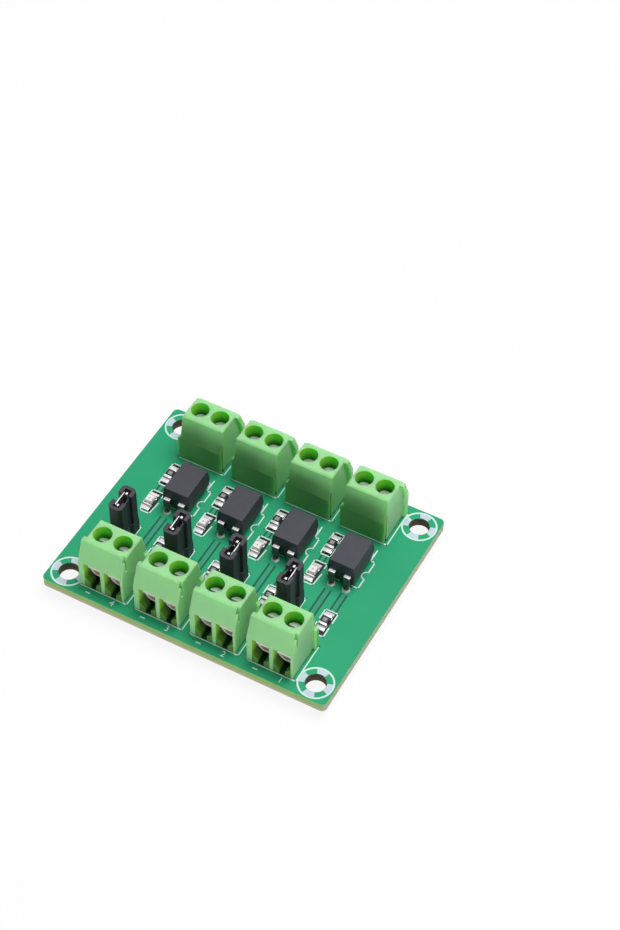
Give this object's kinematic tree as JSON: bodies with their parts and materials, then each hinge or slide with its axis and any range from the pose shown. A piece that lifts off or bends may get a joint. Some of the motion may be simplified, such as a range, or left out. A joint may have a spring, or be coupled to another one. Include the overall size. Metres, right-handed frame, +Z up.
{
  "type": "optocoupler isolation board",
  "caption": "Signal isolation board: a row of optocouplers between input and output screw terminals, with chip resistors, status lights and pull-off jumpers.",
  "frame": {"origin": "centre of the four mounting holes, on the underside of the board", "axes": "+X along the board's long side towards channel 1, +Y from the output terminals to the input terminals, +Z up out of the component side"},
  "size_m": [0.048, 0.039, 0.012],
  "materials": {
    "board_laminate": "green solder mask over glass-fibre laminate, satin",
    "terminal_plastic": "moulded, slightly translucent light green",
    "screw_steel": "zinc-plated steel",
    "clamp_steel": "tinned, stamped and bent",
    "coupler_plastic": "moulded dark grey, matt",
    "tinned_lead": "tin-plated, satin",
    "header_plastic": "moulded black, satin",
    "pin_plating": "gold-flashed brass",
    "resistor_glaze": "black glaze on white ceramic, tinned ends",
    "led_resin": "clear resin on a white base",
    "solder": "solder, smooth"
  },
  "bodies": {
    "board_assembly": {"circuit_board": "board_laminate", "output_1_housing": "terminal_plastic", "output_2_housing": "terminal_plastic", "output_3_housing": "terminal_plastic", "output_4_housing": "terminal_plastic", "input_1_housing": "terminal_plastic", "input_2_housing": "terminal_plastic", "input_3_housing": "terminal_plastic", "input_4_housing": "terminal_plastic", "clamp_frames": "clamp_steel", "optocoupler_1": "coupler_plastic", "optocoupler_2": "coupler_plastic", "optocoupler_3": "coupler_plastic", "optocoupler_4": "coupler_plastic", "optocoupler_leads": "tinned_lead", "header_bases": "header_plastic", "header_pins": "pin_plating", "resistors": "resistor_glaze", "status_leds": "led_resin", "solder_joints": "solder"},
    "output_1_left_guard_body": {"output_1_left_wire_guard": "clamp_steel"},
    "output_1_left_screw_body": {"output_1_left_screw": "screw_steel"},
    "output_1_right_guard_body": {"output_1_right_wire_guard": "clamp_steel"},
    "output_1_right_screw_body": {"output_1_right_screw": "screw_steel"},
    "output_2_left_guard_body": {"output_2_left_wire_guard": "clamp_steel"},
    "output_2_left_screw_body": {"output_2_left_screw": "screw_steel"},
    "output_2_right_guard_body": {"output_2_right_wire_guard": "clamp_steel"},
    "output_2_right_screw_body": {"output_2_right_screw": "screw_steel"},
    "output_3_left_guard_body": {"output_3_left_wire_guard": "clamp_steel"},
    "output_3_left_screw_body": {"output_3_left_screw": "screw_steel"},
    "output_3_right_guard_body": {"output_3_right_wire_guard": "clamp_steel"},
    "output_3_right_screw_body": {"output_3_right_screw": "screw_steel"},
    "output_4_left_guard_body": {"output_4_left_wire_guard": "clamp_steel"},
    "output_4_left_screw_body": {"output_4_left_screw": "screw_steel"},
    "output_4_right_guard_body": {"output_4_right_wire_guard": "clamp_steel"},
    "output_4_right_screw_body": {"output_4_right_screw": "screw_steel"},
    "input_1_left_guard_body": {"input_1_left_wire_guard": "clamp_steel"},
    "input_1_left_screw_body": {"input_1_left_screw": "screw_steel"},
    "input_1_right_guard_body": {"input_1_right_wire_guard": "clamp_steel"},
    "input_1_right_screw_body": {"input_1_right_screw": "screw_steel"},
    "input_2_left_guard_body": {"input_2_left_wire_guard": "clamp_steel"},
    "input_2_left_screw_body": {"input_2_left_screw": "screw_steel"},
    "input_2_right_guard_body": {"input_2_right_wire_guard": "clamp_steel"},
    "input_2_right_screw_body": {"input_2_right_screw": "screw_steel"},
    "input_3_left_guard_body": {"input_3_left_wire_guard": "clamp_steel"},
    "input_3_left_screw_body": {"input_3_left_screw": "screw_steel"},
    "input_3_right_guard_body": {"input_3_right_wire_guard": "clamp_steel"},
    "input_3_right_screw_body": {"input_3_right_screw": "screw_steel"},
    "input_4_left_guard_body": {"input_4_left_wire_guard": "clamp_steel"},
    "input_4_left_screw_body": {"input_4_left_screw": "screw_steel"},
    "input_4_right_guard_body": {"input_4_right_wire_guard": "clamp_steel"},
    "input_4_right_screw_body": {"input_4_right_screw": "screw_steel"},
    "jumper_1": {"jumper_1_cap": "header_plastic", "jumper_1_clip": "tinned_lead"},
    "jumper_2": {"jumper_2_cap": "header_plastic", "jumper_2_clip": "tinned_lead"},
    "jumper_3": {"jumper_3_cap": "header_plastic", "jumper_3_clip": "tinned_lead"},
    "jumper_4": {"jumper_4_cap": "header_plastic", "jumper_4_clip": "tinned_lead"}
  },
  "joints": [
    {"name": "output_1_left_guard_travel", "type": "slide", "parent": "board_assembly", "child": "output_1_left_guard_body", "axis": [0, 0, -1], "range_m": [0, 0.0016]},
    {"name": "output_1_left_screw_turn", "type": "hinge", "parent": "output_1_left_guard_body", "child": "output_1_left_screw_body", "pos_m": [0.0125, -0.0139, 0.007], "axis": [0, 0, -1], "range_deg": [0, 1440]},
    {"name": "output_1_right_guard_travel", "type": "slide", "parent": "board_assembly", "child": "output_1_right_guard_body", "axis": [0, 0, -1], "range_m": [0, 0.0016]},
    {"name": "output_1_right_screw_turn", "type": "hinge", "parent": "output_1_right_guard_body", "child": "output_1_right_screw_body", "pos_m": [0.016, -0.0139, 0.007], "axis": [0, 0, -1], "range_deg": [0, 1440]},
    {"name": "output_2_left_guard_travel", "type": "slide", "parent": "board_assembly", "child": "output_2_left_guard_body", "axis": [0, 0, -1], "range_m": [0, 0.0016]},
    {"name": "output_2_left_screw_turn", "type": "hinge", "parent": "output_2_left_guard_body", "child": "output_2_left_screw_body", "pos_m": [0.003, -0.0139, 0.007], "axis": [0, 0, -1], "range_deg": [0, 1440]},
    {"name": "output_2_right_guard_travel", "type": "slide", "parent": "board_assembly", "child": "output_2_right_guard_body", "axis": [0, 0, -1], "range_m": [0, 0.0016]},
    {"name": "output_2_right_screw_turn", "type": "hinge", "parent": "output_2_right_guard_body", "child": "output_2_right_screw_body", "pos_m": [0.0065, -0.0139, 0.007], "axis": [0, 0, -1], "range_deg": [0, 1440]},
    {"name": "output_3_left_guard_travel", "type": "slide", "parent": "board_assembly", "child": "output_3_left_guard_body", "axis": [0, 0, -1], "range_m": [0, 0.0016]},
    {"name": "output_3_left_screw_turn", "type": "hinge", "parent": "output_3_left_guard_body", "child": "output_3_left_screw_body", "pos_m": [-0.0065, -0.0139, 0.007], "axis": [0, 0, -1], "range_deg": [0, 1440]},
    {"name": "output_3_right_guard_travel", "type": "slide", "parent": "board_assembly", "child": "output_3_right_guard_body", "axis": [0, 0, -1], "range_m": [0, 0.0016]},
    {"name": "output_3_right_screw_turn", "type": "hinge", "parent": "output_3_right_guard_body", "child": "output_3_right_screw_body", "pos_m": [-0.003, -0.0139, 0.007], "axis": [0, 0, -1], "range_deg": [0, 1440]},
    {"name": "output_4_left_guard_travel", "type": "slide", "parent": "board_assembly", "child": "output_4_left_guard_body", "axis": [0, 0, -1], "range_m": [0, 0.0016]},
    {"name": "output_4_left_screw_turn", "type": "hinge", "parent": "output_4_left_guard_body", "child": "output_4_left_screw_body", "pos_m": [-0.016, -0.0139, 0.007], "axis": [0, 0, -1], "range_deg": [0, 1440]},
    {"name": "output_4_right_guard_travel", "type": "slide", "parent": "board_assembly", "child": "output_4_right_guard_body", "axis": [0, 0, -1], "range_m": [0, 0.0016]},
    {"name": "output_4_right_screw_turn", "type": "hinge", "parent": "output_4_right_guard_body", "child": "output_4_right_screw_body", "pos_m": [-0.0125, -0.0139, 0.007], "axis": [0, 0, -1], "range_deg": [0, 1440]},
    {"name": "input_1_left_guard_travel", "type": "slide", "parent": "board_assembly", "child": "input_1_left_guard_body", "axis": [0, 0, -1], "range_m": [0, 0.0016]},
    {"name": "input_1_left_screw_turn", "type": "hinge", "parent": "input_1_left_guard_body", "child": "input_1_left_screw_body", "pos_m": [0.016, 0.0142, 0.007], "axis": [0, 0, -1], "range_deg": [0, 1440]},
    {"name": "input_1_right_guard_travel", "type": "slide", "parent": "board_assembly", "child": "input_1_right_guard_body", "axis": [0, 0, -1], "range_m": [0, 0.0016]},
    {"name": "input_1_right_screw_turn", "type": "hinge", "parent": "input_1_right_guard_body", "child": "input_1_right_screw_body", "pos_m": [0.0125, 0.0142, 0.007], "axis": [0, 0, -1], "range_deg": [0, 1440]},
    {"name": "input_2_left_guard_travel", "type": "slide", "parent": "board_assembly", "child": "input_2_left_guard_body", "axis": [0, 0, -1], "range_m": [0, 0.0016]},
    {"name": "input_2_left_screw_turn", "type": "hinge", "parent": "input_2_left_guard_body", "child": "input_2_left_screw_body", "pos_m": [0.0065, 0.0142, 0.007], "axis": [0, 0, -1], "range_deg": [0, 1440]},
    {"name": "input_2_right_guard_travel", "type": "slide", "parent": "board_assembly", "child": "input_2_right_guard_body", "axis": [0, 0, -1], "range_m": [0, 0.0016]},
    {"name": "input_2_right_screw_turn", "type": "hinge", "parent": "input_2_right_guard_body", "child": "input_2_right_screw_body", "pos_m": [0.003, 0.0142, 0.007], "axis": [0, 0, -1], "range_deg": [0, 1440]},
    {"name": "input_3_left_guard_travel", "type": "slide", "parent": "board_assembly", "child": "input_3_left_guard_body", "axis": [0, 0, -1], "range_m": [0, 0.0016]},
    {"name": "input_3_left_screw_turn", "type": "hinge", "parent": "input_3_left_guard_body", "child": "input_3_left_screw_body", "pos_m": [-0.003, 0.0142, 0.007], "axis": [0, 0, -1], "range_deg": [0, 1440]},
    {"name": "input_3_right_guard_travel", "type": "slide", "parent": "board_assembly", "child": "input_3_right_guard_body", "axis": [0, 0, -1], "range_m": [0, 0.0016]},
    {"name": "input_3_right_screw_turn", "type": "hinge", "parent": "input_3_right_guard_body", "child": "input_3_right_screw_body", "pos_m": [-0.0065, 0.0142, 0.007], "axis": [0, 0, -1], "range_deg": [0, 1440]},
    {"name": "input_4_left_guard_travel", "type": "slide", "parent": "board_assembly", "child": "input_4_left_guard_body", "axis": [0, 0, -1], "range_m": [0, 0.0016]},
    {"name": "input_4_left_screw_turn", "type": "hinge", "parent": "input_4_left_guard_body", "child": "input_4_left_screw_body", "pos_m": [-0.0125, 0.0142, 0.007], "axis": [0, 0, -1], "range_deg": [0, 1440]},
    {"name": "input_4_right_guard_travel", "type": "slide", "parent": "board_assembly", "child": "input_4_right_guard_body", "axis": [0, 0, -1], "range_m": [0, 0.0016]},
    {"name": "input_4_right_screw_turn", "type": "hinge", "parent": "input_4_right_guard_body", "child": "input_4_right_screw_body", "pos_m": [-0.016, 0.0142, 0.007], "axis": [0, 0, -1], "range_deg": [0, 1440]},
    {"name": "jumper_1_pull", "type": "slide", "parent": "board_assembly", "child": "jumper_1", "axis": [0, 0, 1], "range_m": [0, 0.0062]},
    {"name": "jumper_2_pull", "type": "slide", "parent": "board_assembly", "child": "jumper_2", "axis": [0, 0, 1], "range_m": [0, 0.0062]},
    {"name": "jumper_3_pull", "type": "slide", "parent": "board_assembly", "child": "jumper_3", "axis": [0, 0, 1], "range_m": [0, 0.0062]},
    {"name": "jumper_4_pull", "type": "slide", "parent": "board_assembly", "child": "jumper_4", "axis": [0, 0, 1], "range_m": [0, 0.0062]}
  ],
  "couplings": [
    {"joint": "output_1_left_screw_turn", "follows": "output_1_left_guard_travel", "rad_per_m": 15708},
    {"joint": "output_1_right_screw_turn", "follows": "output_1_right_guard_travel", "rad_per_m": 15708},
    {"joint": "output_2_left_screw_turn", "follows": "output_2_left_guard_travel", "rad_per_m": 15708},
    {"joint": "output_2_right_screw_turn", "follows": "output_2_right_guard_travel", "rad_per_m": 15708},
    {"joint": "output_3_left_screw_turn", "follows": "output_3_left_guard_travel", "rad_per_m": 15708},
    {"joint": "output_3_right_screw_turn", "follows": "output_3_right_guard_travel", "rad_per_m": 15708},
    {"joint": "output_4_left_screw_turn", "follows": "output_4_left_guard_travel", "rad_per_m": 15708},
    {"joint": "output_4_right_screw_turn", "follows": "output_4_right_guard_travel", "rad_per_m": 15708},
    {"joint": "input_1_left_screw_turn", "follows": "input_1_left_guard_travel", "rad_per_m": 15708},
    {"joint": "input_1_right_screw_turn", "follows": "input_1_right_guard_travel", "rad_per_m": 15708},
    {"joint": "input_2_left_screw_turn", "follows": "input_2_left_guard_travel", "rad_per_m": 15708},
    {"joint": "input_2_right_screw_turn", "follows": "input_2_right_guard_travel", "rad_per_m": 15708},
    {"joint": "input_3_left_screw_turn", "follows": "input_3_left_guard_travel", "rad_per_m": 15708},
    {"joint": "input_3_right_screw_turn", "follows": "input_3_right_guard_travel", "rad_per_m": 15708},
    {"joint": "input_4_left_screw_turn", "follows": "input_4_left_guard_travel", "rad_per_m": 15708},
    {"joint": "input_4_right_screw_turn", "follows": "input_4_right_guard_travel", "rad_per_m": 15708}
  ]
}
